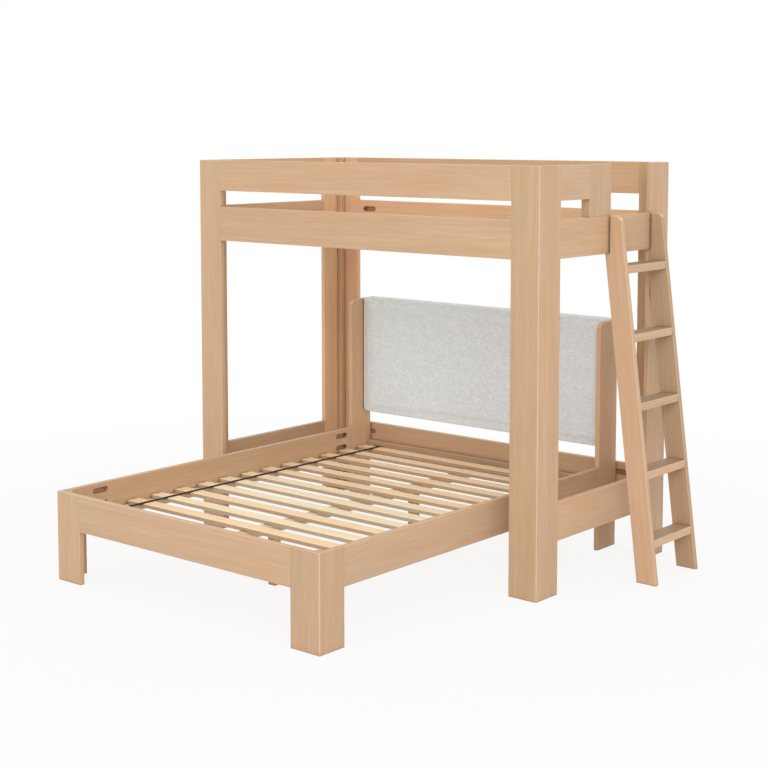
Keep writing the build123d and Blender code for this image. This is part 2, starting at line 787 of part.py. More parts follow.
def build():
    make_posts()
    make_foot_legs()
    make_uprights()
    make_guards()
    make_ladder()
    make_upper_base()
    bed_screws = []
    make_bed_base(bed_screws)
    make_headboard(bed_screws)
    nodes["bed_screws"] = grouped(bed_screws)
    loft_bolts, loft_inserts = [], []
    add_rails(loft_rails(), loft_bolts, loft_inserts)
    add_ladder_bolts(loft_bolts, loft_inserts)
    nodes["loft_bolts"] = grouped(loft_bolts)
    nodes["loft_inserts"] = grouped(loft_inserts)
    bed_bolts, bed_inserts = [], []
    add_rails(bed_rails(), bed_bolts, bed_inserts)
    nodes["bed_bolts"] = grouped(bed_bolts)
    nodes["bed_inserts"] = grouped(bed_inserts)
    add_dowels("guard_dowels", guard_dowels())
    apply_holes()


build()
os.makedirs("parts", exist_ok=True)
for node_name, node_shape in nodes.items():
    export_step(node_shape, f"parts/{node_name}.step")
print(len(nodes), "nodes, ladder angle", round(degrees(atan(ladder_slope)), 2))
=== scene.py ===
import json
import math

import bmesh
import bpy
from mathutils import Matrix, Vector


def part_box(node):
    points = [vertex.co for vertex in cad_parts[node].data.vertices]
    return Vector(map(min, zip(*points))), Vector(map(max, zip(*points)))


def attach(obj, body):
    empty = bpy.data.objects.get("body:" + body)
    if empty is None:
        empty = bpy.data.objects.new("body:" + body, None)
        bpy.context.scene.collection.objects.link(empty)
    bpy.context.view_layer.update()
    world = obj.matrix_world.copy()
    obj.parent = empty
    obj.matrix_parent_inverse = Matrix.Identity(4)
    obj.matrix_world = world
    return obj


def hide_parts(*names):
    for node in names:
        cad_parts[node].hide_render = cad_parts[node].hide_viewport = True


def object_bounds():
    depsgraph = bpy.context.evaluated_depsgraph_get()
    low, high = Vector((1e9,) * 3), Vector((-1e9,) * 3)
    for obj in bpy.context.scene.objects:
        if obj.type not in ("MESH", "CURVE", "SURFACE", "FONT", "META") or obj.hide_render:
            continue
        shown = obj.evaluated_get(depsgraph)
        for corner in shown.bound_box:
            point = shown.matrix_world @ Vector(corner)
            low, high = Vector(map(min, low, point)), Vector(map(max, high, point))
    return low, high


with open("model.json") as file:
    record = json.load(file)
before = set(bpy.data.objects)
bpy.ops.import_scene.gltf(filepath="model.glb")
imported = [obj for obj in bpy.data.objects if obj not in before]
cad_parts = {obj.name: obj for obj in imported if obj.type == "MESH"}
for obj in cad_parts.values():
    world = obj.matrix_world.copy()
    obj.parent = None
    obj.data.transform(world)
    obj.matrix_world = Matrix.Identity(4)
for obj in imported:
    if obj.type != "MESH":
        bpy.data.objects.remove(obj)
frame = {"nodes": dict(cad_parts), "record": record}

# A bunk bed in pale oak: a loft on four corner posts, and a low bed that stands crosswise under it.
# Everything is in metres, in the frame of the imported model.
nodes = frame["nodes"]
cad_low, cad_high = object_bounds()
scene = bpy.context.scene
QUARTER = math.radians(90)

# Camera, as the photograph was taken, with its turn and its drop below level in degrees
CAMERA_PLACE = (4.6191, -5.3724, 2.0312)
CAMERA_AZIMUTH = 40.304
CAMERA_DROP = 5.245
CAMERA_LENS = 72.36
CAMERA_SHIFT = -0.145
CAMERA_REACH = 200.0

# Light: a sky that is brighter overhead, and one large soft lamp
SKY_LOW, SKY_HIGH = 0.70, 1.20
FILL_AZIMUTH, FILL_HEIGHT, FILL_DISTANCE = 40.0, 24.0, 15.0
FILL_SIZE, FILL_LEVEL = 9.0, 0.37

# Floor: it takes the object's shadow near by, and is plain white further out
FLOOR_DROP = 0.0006
FLOOR_SIZE = 60.0
FLOOR_FADE = (1.6, 4.5)
FLOOR_NEAR_WHITE = 0.87


def srgb(red, green, blue):
    """A colour written as it looks on screen, 0 to 255, as linear values with alpha."""
    shares = [value / 255 for value in (red, green, blue)]
    linear = [s / 12.92 if s <= 0.04045 else ((s + 0.055) / 1.055) ** 2.4 for s in shares]
    return (*linear, 1.0)


WHITE = (1.0, 1.0, 1.0, 1.0)

# Colours
OAK_LIGHT = srgb(222, 187, 152)
OAK_MID = srgb(209, 172, 137)
OAK_DARK = srgb(191, 152, 117)
OAK_PORE = srgb(160, 122, 88)
OAK_GREY = srgb(201, 172, 142)
# Painted highlight on rounded edges that stand free
OAK_PAINTED_HIGHLIGHT = srgb(230, 201, 170)
# Painted shade in joints, gaps and pockets
OAK_PAINTED_SHADE = srgb(108, 78, 54)
# Painted shade on the floors of bolt pockets
OAK_POCKET_SHADE = srgb(166, 128, 94)
TINT_WARM = srgb(255, 246, 240)
TINT_COOL = srgb(249, 252, 240)
SLAT_LIGHT = srgb(255, 243, 218)
SLAT_MID = srgb(254, 234, 200)
SLAT_DARK = srgb(243, 216, 172)
SLAT_PORE = srgb(205, 168, 118)
SLAT_GREY = srgb(240, 218, 182)
# Painted shade on the upright sides of the slats
SLAT_SIDE_SHADE = srgb(198, 190, 186)
# Painted shade on the tops of the treads
TREAD_TOP_SHADE = srgb(206, 212, 218)
BEECH_MID = srgb(222, 190, 150)
BEECH_PORE = srgb(176, 134, 92)
PLY_MID = srgb(216, 186, 148)
PLY_DARK = srgb(192, 156, 116)
CLOTH_LIGHT = srgb(244, 252, 255)
CLOTH_DARK = srgb(226, 235, 243)
CLOTH_FLECK = srgb(150, 149, 148)
CLOTH_SHEEN = srgb(246, 250, 255)
STRAP_LIGHT = srgb(52, 38, 24)
STRAP_DARK = srgb(28, 19, 11)
ZINC = srgb(176, 174, 170)
ZINC_DARK = srgb(132, 130, 126)
BRONZE = srgb(146, 114, 80)
BRONZE_DARK = srgb(120, 92, 64)
BROWN_STEEL = srgb(160, 124, 94)
BROWN_STEEL_DARK = srgb(146, 112, 84)
FLOOR_WHITE = srgb(226, 226, 226)

# A wood's colours: light, mid, dark, pore and grey
OAK = (OAK_LIGHT, OAK_MID, OAK_DARK, OAK_PORE, OAK_GREY)
SLAT = (SLAT_LIGHT, SLAT_MID, SLAT_DARK, SLAT_PORE, SLAT_GREY)
BEECH = (SLAT_MID, BEECH_MID, SLAT_DARK, BEECH_PORE, SLAT_MID)


class Tree:
    """A node tree with short calls for what materials use again and again."""

    def __init__(self, tree):
        self.tree = tree

    def node(self, kind, **settings):
        made = self.tree.nodes.new(kind)
        for name, value in settings.items():
            setattr(made, name, value)
        return made

    def feed(self, socket, value):
        if isinstance(value, bpy.types.NodeSocket):
            self.tree.links.new(value, socket)
        elif value is not None:
            socket.default_value = value

    def math(self, operation, *values, clamp=False):
        made = self.node("ShaderNodeMath", operation=operation, use_clamp=clamp)
        for socket, value in zip(made.inputs, values):
            self.feed(socket, value)
        return made.outputs[0]

    def vector_math(self, operation, *values):
        made = self.node("ShaderNodeVectorMath", operation=operation)
        for socket, value in zip(made.inputs, values):
            self.feed(socket, value)
        return made.outputs[0]

    def mix(self, share, first, second, blend="MIX"):
        made = self.node("ShaderNodeMix", data_type="RGBA", blend_type=blend)
        self.feed(made.inputs["Factor"], share)
        self.feed(made.inputs["A"], first)
        self.feed(made.inputs["B"], second)
        # A colour mix has its colour output third
        return made.outputs[2]

    def stain(self, share, base, color):
        """The base multiplied by a colour, as far as the share says."""
        return self.mix(share, base, self.mix(1.0, base, color, "MULTIPLY"))

    def blend(self, first, first_share, second, second_share):
        """Two numbers, each times its own share, added up."""
        return self.math("ADD", self.math("MULTIPLY", first, first_share),
                         self.math("MULTIPLY", second, second_share))

    def noise(self, vector, scale, detail=2.0, rough=0.5):
        """Soft noise from 0 to 1. The scale is one number, or one for each axis."""
        if isinstance(scale, tuple):
            vector, scale = self.vector_math("MULTIPLY", vector, scale), 1.0
        made = self.node("ShaderNodeTexNoise")
        self.feed(made.inputs["Vector"], vector)
        self.feed(made.inputs["Scale"], scale)
        self.feed(made.inputs["Detail"], detail)
        self.feed(made.inputs["Roughness"], rough)
        return made.outputs["Fac"]

    def wave(self, value, pitch):
        """A sine wave, with one turn for each pitch that the value passes."""
        return self.math("SINE", self.math("MULTIPLY", value, 2 * math.pi / pitch))

    def remap(self, value, low, high, to_low=0.0, to_high=1.0):
        made = self.node("ShaderNodeMapRange", interpolation_type="SMOOTHSTEP")
        for name, number in zip(("Value", "From Min", "From Max", "To Min", "To Max"),
                                (value, low, high, to_low, to_high)):
            self.feed(made.inputs[name], number)
        return made.outputs[0]

    def largest(self, values):
        """The largest size among a few numbers, whatever their signs."""
        found = self.math("ABSOLUTE", values[0])
        for value in list(values)[1:]:
            found = self.math("MAXIMUM", found, self.math("ABSOLUTE", value))
        return found

    def parts(self, vector):
        made = self.node("ShaderNodeSeparateXYZ")
        self.feed(made.inputs[0], vector)
        return made.outputs

    def join(self, x, y, z):
        made = self.node("ShaderNodeCombineXYZ")
        for socket, value in zip(made.inputs, (x, y, z)):
            self.feed(socket, value)
        return made.outputs[0]

    def looked_at(self):
        """1 for what is looked at, also by way of metal or glass, and 0 for what gives light."""
        ray = self.node("ShaderNodeLightPath").outputs
        return self.math("ADD", self.math("ADD", ray["Is Camera Ray"], ray["Is Glossy Ray"]),
                         ray["Is Transmission Ray"], clamp=True)

    def mix_shaders(self, share, first, second):
        made = self.node("ShaderNodeMixShader")
        for socket, value in zip(made.inputs, (share, first, second)):
            self.feed(socket, value)
        return made.outputs[0]


# How square to an axis a face still is where a rounded edge starts, and where it is full
EDGE_TURN = (0.985, 0.82)


class Material(Tree):
    """A surface with one glossy shader, whose other sockets are set by name."""

    def __init__(self, name, roughness=0.5, metallic=0.0, specular=0.5, sheen=0.0):
        self.material = bpy.data.materials.new(name)
        self.material.use_nodes = True
        super().__init__(self.material.node_tree)
        self.shader = self.tree.nodes["Principled BSDF"]
        self.set("Roughness", roughness)
        self.set("Metallic", metallic)
        self.set("Specular IOR Level", specular)
        self.set("Sheen Weight", sheen)
        where = self.node("ShaderNodeTexCoord").outputs
        self.place, self.facing = where["Object"], where["Normal"]

    def set(self, socket, value):
        self.feed(self.shader.inputs[socket], value)

    def bump(self, height, depth, strength):
        made = self.node("ShaderNodeBump")
        self.feed(made.inputs["Strength"], strength)
        self.feed(made.inputs["Distance"], depth)
        self.feed(made.inputs["Height"], height)
        self.set("Normal", made.outputs[0])

    def eased(self):
        """1 where an edge is rounded, and 0 on faces square to an axis."""
        return self.remap(self.largest(self.parts(self.facing)), *EDGE_TURN)

    def turned(self, axis):
        """1 on a face square to an axis, given as a number, and 0 on one along it."""
        return self.math("ABSOLUTE", self.parts(self.facing)[axis])

    def openness(self, reach):
        """1 in the open, and less in a joint, gap or pocket."""
        near = self.node("ShaderNodeAmbientOcclusion", samples=4)
        near.inputs["Distance"].default_value = reach
        return near.outputs["AO"]

    def wear(self, *objects):
        for thing in objects:
            thing.data.materials.clear()
            thing.data.materials.append(self.material)


# Grain, as one solid pattern that every board cuts through. A scale is given along the board,
# across it and through it, and a range as where a pattern starts and ends in its noise.
# Rings: their width, how one darkens and ends, and where their heart is, across and through
GRAIN_RING = 0.0046
RING_RISE, RING_FALL = (0.0, 0.75), (1.0, 0.8)
GRAIN_HEART = (0.19, 0.045)
# How far slow waves and quick ones bend the grain
GRAIN_WAVE, GRAIN_STIR = 0.036, 0.010
SLOW_SCALE = (0.7, 5.0, 5.0)
QUICK_SCALE = (1.1, 26.0, 26.0)
FADE_SCALE = (1.2, 16.0, 16.0)
FADE_RANGE = (0.38, 0.66, 0.1, 1.0)
WIDE_SCALE = (1.8, 150.0, 150.0)
FINE_SCALE = (4.0, 380.0, 380.0)
DASH_SCALE, DASH_RANGE = (75.0, 1500.0, 1500.0), (0.62, 0.72)
BROAD_SCALE = (0.5, 11.0, 11.0)
TINT_SCALE = (1.6, 9.0, 9.0)
HUE_SCALE = (1.3, 15.0, 15.0)
GRAIN_OUTPUTS = ("Streak", "Ring", "Pore", "Broad", "Hue", "Tint")


def grain_group():
    """Grain in a board's own axes: length first, then across, then through the board."""
    group = bpy.data.node_groups.new("grain", "ShaderNodeTree")
    face = group.interface
    face.new_socket("Place", in_out="INPUT", socket_type="NodeSocketVector")
    for name in GRAIN_OUTPUTS:
        face.new_socket(name, in_out="OUTPUT", socket_type="NodeSocketFloat")
    t = Tree(group)
    place = t.node("NodeGroupInput").outputs[0]
    out = t.node("NodeGroupOutput")
    slow = t.math("SUBTRACT", t.noise(place, SLOW_SCALE), 0.5)
    quick = t.math("SUBTRACT", t.noise(place, QUICK_SCALE, detail=1.0), 0.5)
    bend = t.blend(slow, GRAIN_WAVE, quick, GRAIN_STIR)
    x, y, z = t.parts(place)
    bent = t.join(x, t.math("ADD", y, bend), t.math("ADD", z, bend))
    # Rings round a heart that lies outside the board
    across = t.math("ADD", t.math("ADD", y, bend), GRAIN_HEART[0])
    through = t.math("ADD", z, GRAIN_HEART[1])
    reach = t.math("SQRT", t.math("ADD", t.math("MULTIPLY", across, across),
                                  t.math("MULTIPLY", through, through)))
    turns = t.math("FRACT", t.math("DIVIDE", reach, GRAIN_RING))
    ring = t.math("MULTIPLY", t.remap(turns, *RING_RISE), t.remap(turns, *RING_FALL))
    fade = t.remap(t.noise(place, FADE_SCALE), *FADE_RANGE)
    t.feed(out.inputs["Ring"], t.math("MULTIPLY", ring, fade))
    wide = t.noise(bent, WIDE_SCALE, detail=3.0, rough=0.65)
    fine = t.noise(bent, FINE_SCALE)
    t.feed(out.inputs["Streak"], t.blend(wide, 0.5, fine, 0.5))
    dash = t.noise(bent, DASH_SCALE, detail=1.0)
    t.feed(out.inputs["Pore"], t.math("MULTIPLY", t.remap(dash, *DASH_RANGE), fade))
    t.feed(out.inputs["Broad"], t.noise(place, BROAD_SCALE, detail=1.5))
    t.feed(out.inputs["Tint"], t.noise(place, TINT_SCALE))
    t.feed(out.inputs["Hue"], t.noise(bent, HUE_SCALE, detail=1.0))
    return group


GRAIN = grain_group()
# How a board's axes turn into grain axes, for grain along X, Y or Z
TURNS = {"x": (0, 0, 0), "y": (0, 0, -QUARTER), "z": (0, QUARTER, 0)}
# How far each board, and each piece in a row, moves on through the grain
BOARD_STEP = (3.71, 0.613, 0.279)
PIECE_SEED_STEP = 7.3
PIECE_STEP = (9.0, 0.4, 0.2)

# How each layer goes over the one before: from and to in its pattern, then its share at each
HUE_GREY = (0.35, 0.65, 0.0, 0.5)
BROAD_LIGHT = (0.35, 0.70, 0.0, 0.35)
STREAK_DARK = (0.62, 0.36, 0.0, 0.44)
STREAK_LIGHT = (0.52, 0.68, 0.0, 0.34)
RING_SHARE, PORE_SHARE = 0.13, 0.4
WARM_RANGE = (0.52, 0.66, 0.0, 0.5)
COOL_RANGE = (0.48, 0.34, 0.0, 0.5)
PIECE_DARK = (0.0, 1.0, 0.0, 0.18)
PIECE_WARM = (0.45, 0.55)
# Painted shade: how far a face turns from level where slat sides and tread tops take it
SIDE_SHADE_TURN, TOP_SHADE_TURN = (0.75, 0.35), (0.90, 0.99)
# Painted highlight: how open an edge must be to take it, and its share
PAINTED_HIGHLIGHT_OPEN = (0.72, 0.92, 0.13, 0.65)
# Painted shade: how far the occlusion test reaches, and how closed in a place must be to take it
CREVICE_REACH, CREVICE_PAINTED_SHADE = 0.018, (0.85, 0.25, 0.0, 0.60)
# Painted shade on pocket floors: their depth, how they turn, and the shade's share
POCKET_DEPTH, POCKET_TURN, POCKET_SHADE_SHARE = (0.002, 0.004), (0.80, 0.95), 0.80
BOARD_THICKEST = 0.030
STREAK_ROUGHNESS = (0.2, 0.8, 0.53, 0.41)
RELIEF_STREAK, RELIEF_PORE = 0.5, 0.8


def grain_place(m, along, number, lean, per_piece):
    """A point's place in the grain and, in a row of boards, a number for its own board."""
    mapping = m.node("ShaderNodeMapping")
    turn = TURNS[along]
    mapping.inputs["Rotation"].default_value = (turn[0], turn[1] + lean, turn[2])
    mapping.inputs["Location"].default_value = [number * step for step in BOARD_STEP]
    m.feed(mapping.inputs["Vector"], m.place)
    place = mapping.outputs[0]
    if per_piece is None:
        return place, None
    axis, first, pitch = per_piece
    passed = m.math("SUBTRACT", m.parts(m.place)[axis], first)
    cell = m.math("FLOOR", m.math("DIVIDE", passed, pitch))
    dice = m.node("ShaderNodeTexWhiteNoise", noise_dimensions="1D")
    m.feed(dice.inputs["W"], m.math("ADD", cell, number * PIECE_SEED_STEP))
    jump = m.vector_math("MULTIPLY", dice.outputs["Color"], PIECE_STEP)
    return m.vector_math("ADD", place, jump), dice.outputs["Value"]


def pocket_floor(m, low, high):
    """1 on a face that is turned like a board's broad sides and lies between them."""
    axis = min(range(3), key=lambda number: high[number] - low[number])
    if high[axis] - low[axis] > BOARD_THICKEST:
        return None
    through = m.parts(m.place)[axis]
    depth = m.math("MINIMUM", m.math("SUBTRACT", through, low[axis]),
                   m.math("SUBTRACT", high[axis], through))
    return m.math("MULTIPLY", m.remap(depth, *POCKET_DEPTH), m.remap(m.turned(axis), *POCKET_TURN))


def wood(name, along, number, colors, lean=0.0, tone=1.0, per_piece=None, side_shade=None,
         top_shade=None, box=None):
    """Wood whose grain runs along one axis. The number moves the board to fresh grain, and
    per_piece gives (axis number, first place, pitch) where one node holds a row of boards.
    Faces that aren't level take painted shade in the side-shade colour, and level ones painted
    shade in the top-shade colour, where one is given. With its box given, a board's bolt pockets
    take painted shade on their floors."""
    light, mid, dark, pore, grey = [(*[c * tone for c in color[:3]], 1.0) for color in colors]
    m = Material(name, specular=0.4)
    place, chance = grain_place(m, along, number, lean, per_piece)
    openness = m.openness(CREVICE_REACH)
    grain = m.node("ShaderNodeGroup", node_tree=GRAIN)
    m.feed(grain.inputs["Place"], place)
    streak, ring, dash, broad, hue, tint = [grain.outputs[layer] for layer in GRAIN_OUTPUTS]
    base = m.mix(m.remap(hue, *HUE_GREY), mid, grey)
    base = m.mix(m.remap(broad, *BROAD_LIGHT), base, light)
    base = m.mix(m.remap(streak, *STREAK_DARK), base, dark)
    base = m.mix(m.remap(streak, *STREAK_LIGHT), base, light)
    base = m.mix(m.math("MULTIPLY", ring, RING_SHARE), base, dark)
    base = m.mix(m.math("MULTIPLY", dash, PORE_SHARE), base, pore)
    base = m.stain(m.remap(tint, *WARM_RANGE), base, TINT_WARM)
    base = m.stain(m.remap(tint, *COOL_RANGE), base, TINT_COOL)
    if chance is not None:
        base = m.mix(m.remap(chance, *PIECE_DARK), base, dark)
        base = m.stain(m.remap(chance, *PIECE_WARM), base, TINT_WARM)
    # Painted shade on faces that aren't level
    if side_shade:
        base = m.stain(m.remap(m.turned(2), *SIDE_SHADE_TURN), base, side_shade)
    # Painted shade on level faces
    if top_shade:
        base = m.stain(m.remap(m.turned(2), *TOP_SHADE_TURN), base, top_shade)
    if not side_shade:
        # A painted highlight on rounded edges where they stand free, and none where two boards meet
        free = m.remap(openness, *PAINTED_HIGHLIGHT_OPEN)
        base = m.mix(m.math("MULTIPLY", m.eased(), free), base, OAK_PAINTED_HIGHLIGHT)
    # Painted shade on the floors of bolt pockets
    pocket = pocket_floor(m, *box) if box else None
    if pocket is not None:
        base = m.mix(m.math("MULTIPLY", pocket, POCKET_SHADE_SHARE), base, OAK_POCKET_SHADE)
    # Painted shade, darker where joints, gaps and pockets close the wood in
    base = m.mix(m.remap(openness, *CREVICE_PAINTED_SHADE), base, OAK_PAINTED_SHADE)
    m.set("Base Color", base)
    m.set("Roughness", m.remap(streak, *STREAK_ROUGHNESS))
    relief = m.math("SUBTRACT", m.math("MULTIPLY", streak, RELIEF_STREAK),
                    m.math("MULTIPLY", dash, RELIEF_PORE))
    m.bump(relief, depth=0.00022, strength=0.55)
    return m


# Which way the grain runs, where it isn't a board's longest side
GRAIN_WAYS = {"post_corner_blocks": "z", "foot_leg_blocks": "z", "bed_centre_legs": "z",
              "upper_ledgers": "x", "bed_ledgers": "y"}
LOW_TREAD, HIGH_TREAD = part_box("ladder_tread_1")[1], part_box("ladder_tread_5")[1]
STRINGER_LEAN = math.atan((LOW_TREAD.x - HIGH_TREAD.x) / (HIGH_TREAD.z - LOW_TREAD.z))
# Boards that stand are a little darker than boards that lie, and no two are quite alike. Some
# boards are made lighter or darker, partly for a shade of their own and partly as painted light and
# shade for where they stand in the bed
UPRIGHT_TONE, LYING_TONE = 0.95, 1.0
TONE_SPREAD, TONE_TURN = 0.018, 2.4
OWN_AND_PAINTED_TONES = {"head_rail": 0.80, "head_upright_left": 1.06, "head_upright_right": 1.10,
             "post_back_left_face": 1.22, "post_back_left_side": 1.24, "back_rail": 1.22,
             "post_front_left_face": 1.0, "foot_leg_left_face": 1.0, "foot_leg_right_face": 0.92,
             "foot_leg_right_side": 0.92, "bed_rail_right": 0.94, "left_stretcher": 0.88,
             "front_rail": 0.96, "ladder_stringer_left": 1.0, "ladder_stringer_right": 0.83,
             "ladder_tread_1": 1.12, "ladder_tread_2": 1.06}
# The beams and ledgers under the slats, darker as painted shade for lying under them
UNDER_SLATS = ("upper_beam", "bed_beam", "upper_ledgers", "bed_ledgers")
UNDER_SLATS_SHADE = 0.72
# A row of slats: its node, the axis that a slat lies along and the number of the row's own axis
SLAT_ROWS = (("bed_slats", "x", 1), ("upper_slats", "y", 0))
SLAT_PITCH = 0.149
SLAT_WIDTH = 0.070
# Each slat has grain of its own, which starts this far before the slat
SLAT_LEAD = 0.03


def grain_way(name):
    """The axis that a node's grain runs along: its longest side, if no other is named."""
    low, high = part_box(name)
    size = high - low
    return GRAIN_WAYS.get(name) or "xyz"[max(range(3), key=lambda axis: size[axis])]


def dress_wood():
    """Each wooden node has a number of its own, so that no two show the same grain."""
    oak = [m["node"] for m in frame["record"]["subparts"] if m["material_slot"] == "oak"]
    for number, name in enumerate(sorted(oak), start=1):
        along = grain_way(name)
        lean = STRINGER_LEAN if "stringer" in name else 0.0
        tone = OWN_AND_PAINTED_TONES.get(name, UPRIGHT_TONE if along == "z" else LYING_TONE)
        tone += TONE_SPREAD * math.sin(number * TONE_TURN)
        # Tread tops take painted shade
        top_shade = TREAD_TOP_SHADE if "tread" in name else None
        wood(f"oak_{name}", along, number, OAK, lean=lean, tone=tone, top_shade=top_shade,
             box=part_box(name)).wear(nodes[name])
    for number, name in enumerate(UNDER_SLATS, start=61):
        wood(f"softwood_{name}", grain_way(name), number, SLAT,
             tone=UNDER_SLATS_SHADE).wear(nodes[name])
    for number, (name, along, row_axis) in enumerate(SLAT_ROWS, start=70):
        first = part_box(name)[0][row_axis] - SLAT_LEAD
        wood(f"softwood_{name}", along, number, SLAT, per_piece=(row_axis, first, SLAT_PITCH),
             side_shade=SLAT_SIDE_SHADE).wear(nodes[name])
    for number, name in enumerate(("guard_dowels", "tread_dowels"), start=80):
        wood(f"beech_{name}", "y", number, BEECH).wear(nodes[name])


# Plywood: a rotary-cut face with broad figure and thin lines, and plies at the edges
PLY_THICK, PLY_SHARE = 0.003, 0.2
PLY_FIGURE_SCALE, PLY_FIGURE_SHARE = (2.4, 1.0, 22.0), 0.55
PLY_LINE_SCALE, PLY_LINE_SHARE = (5.0, 1.0, 210.0), 0.45
PLY_RANGE = (0.36, 0.64)


def plywood():
    m = Material("plywood", roughness=0.6, specular=0.3)
    ply = m.math("FRACT", m.math("DIVIDE", m.parts(m.place)[1], PLY_THICK))
    figure = m.noise(m.place, PLY_FIGURE_SCALE, detail=3.0)
    line = m.noise(m.place, PLY_LINE_SCALE, detail=3.0)
    face = m.blend(figure, PLY_FIGURE_SHARE, line, PLY_LINE_SHARE)
    m.set("Base Color", m.mix(m.remap(face, *PLY_RANGE), PLY_MID, PLY_DARK))
    m.bump(m.math("ADD", face, m.math("MULTIPLY", ply, PLY_SHARE)), depth=0.0002, strength=0.4)
    return m


# Steel: how many mottled patches fit in a metre, and where they start and end in their noise
MOTTLE_SCALE, MOTTLE_RANGE = 380.0, (0.3, 0.7)


def steel(name, color, dark, roughness, metallic):
    """Plated or painted steel, with a slightly mottled finish."""
    m = Material(name, roughness=roughness, metallic=metallic)
    patch = m.noise(m.place, MOTTLE_SCALE, detail=3.0)
    m.set("Base Color", m.mix(m.remap(patch, *MOTTLE_RANGE), color, dark))
    m.bump(patch, depth=0.00004, strength=0.4)
    return m


# Stage
def studio_sky():
    """The light comes from all round, and more of it from overhead. What is seen is white."""
    world = bpy.data.worlds.new("studio")
    world.use_nodes = True
    scene.world = world
    t = Tree(world.node_tree)
    world.node_tree.nodes.clear()
    height = t.parts(t.node("ShaderNodeTexCoord").outputs["Generated"])[2]
    height = t.math("MAXIMUM", height, 0.0)
    lit = t.node("ShaderNodeBackground")
    lit.inputs["Color"].default_value = WHITE
    t.feed(lit.inputs["Strength"], t.math("MULTIPLY_ADD", t.math("MULTIPLY", height, height),
                                          SKY_HIGH - SKY_LOW, SKY_LOW))
    shown = t.node("ShaderNodeBackground")
    shown.inputs["Color"].default_value = WHITE
    both = t.mix_shaders(t.looked_at(), lit.outputs[0], shown.outputs[0])
    t.feed(t.node("ShaderNodeOutputWorld").inputs[0], both)


def fill_lamp():
    """A round lamp, aimed at the middle of the object. On a white face square to it, it adds
    its level, where 1 is white."""
    data = bpy.data.lights.new("fill", "AREA")
    data.shape = "DISK"
    data.size = FILL_SIZE
    data.energy = FILL_LEVEL * (math.pi * FILL_DISTANCE) ** 2
    lamp = bpy.data.objects.new("fill", data)
    scene.collection.objects.link(lamp)
    around, up = math.radians(FILL_AZIMUTH), math.radians(FILL_HEIGHT)
    away = Vector((math.sin(around) * math.cos(up), -math.cos(around) * math.cos(up), math.sin(up)))
    lamp.location = (cad_low + cad_high) / 2 + away * FILL_DISTANCE
    lamp.rotation_euler = away.to_track_quat("Z", "Y").to_euler()


def floor():
    mesh = bpy.data.meshes.new("floor")
    half = FLOOR_SIZE / 2
    corners = [(-half, -half), (half, -half), (half, half), (-half, half)]
    mesh.from_pydata([(x, y, -FLOOR_DROP) for x, y in corners], [], [(0, 1, 2, 3)])
    thing = bpy.data.objects.new("floor", mesh)
    scene.collection.objects.link(thing)
    m = Material("floor", roughness=0.9, specular=0.1)
    m.set("Base Color", FLOOR_WHITE)
    reach = m.node("ShaderNodeVectorMath", operation="LENGTH")
    m.feed(reach.inputs[0], m.place)
    far = m.remap(reach.outputs["Value"], *FLOOR_FADE, FLOOR_NEAR_WHITE, 1.0)
    glow = m.node("ShaderNodeEmission")
    glow.inputs["Color"].default_value = WHITE
    share = m.math("MULTIPLY", m.looked_at(), far)
    both = m.mix_shaders(share, m.shader.outputs[0], glow.outputs[0])
    m.feed(m.tree.nodes["Material Output"].inputs["Surface"], both)
    m.wear(thing)


def camera():
    data = bpy.data.cameras.new("camera")
    data.lens = CAMERA_LENS
    data.shift_y = CAMERA_SHIFT
    data.clip_end = CAMERA_REACH
    eye = bpy.data.objects.new("camera", data)
    scene.collection.objects.link(eye)
    eye.location = CAMERA_PLACE
    eye.rotation_euler = (QUARTER - math.radians(CAMERA_DROP), 0.0, math.radians(CAMERA_AZIMUTH))
    scene.camera = eye


def stage():
    scene.view_settings.view_transform = "Standard"
    studio_sky()
    fill_lamp()
    floor()
    camera()


# Pieces
def link(name, mesh, body):
    thing = bpy.data.objects.new(name, mesh)
    scene.collection.objects.link(thing)
    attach(thing, body)
    return thing


def smooth(mesh):
    mesh.polygons.foreach_set("use_smooth", [True] * len(mesh.polygons))


def sweep(made, rings):
    """Joins rings of points one after another, and closes both ends."""
    before = None
    for points in rings:
        ring = [made.verts.new(point) for point in points]
        count = len(ring)
        if before:
            for k in range(count):
                n = (k + 1) % count
                made.faces.new((before[k], before[n], ring[n], ring[k]))
        else:
            made.faces.new(ring)
        before = ring
    made.faces.new(reversed(before))


def finished(made, name):
    """The mesh of what was made, with every face turned outwards."""
    bmesh.ops.recalc_face_normals(made, faces=made.faces)
    mesh = bpy.data.meshes.new(name)
    made.to_mesh(mesh)
    made.free()
    return mesh


# Headboard cover: foam and cloth wrapped round a board, with a hem stapled behind. The front
# edges are rounded by the rim, and the back ones by the back rim, which its bend cuts short.
COVER_CELL = 0.012
COVER_RIM = 0.007
COVER_BACK_RIM = 0.003
COVER_BACK_BEND = 0.3
COVER_HEM = 0.036
COVER_CLOTH = 0.0012
COVER_SIDE_REACH = 0.0022
COVER_RIM_STEPS, COVER_SIDE_STEPS, COVER_HEM_STEPS = 4, 3, 3
# The hem's cut edge turns in and down to the board, in cloth thicknesses
COVER_CUT_IN, COVER_CUT_DOWN = 0.5, 1.3
# How far a point may swell, and the cloth's own settings
COVER_SWELL = 0.003
COVER_SIDE_SWELL = 0.0008
COVER_FRAMES = 14
CLOTH_SETTINGS = {"quality": 6, "mass": 0.25, "tension_stiffness": 30.0,
                  "compression_stiffness": 30.0, "shear_stiffness": 12.0,
                  "bending_stiffness": 2.0, "use_pressure": True,
                  "uniform_pressure_force": 4.0, "vertex_group_mass": "pin"}
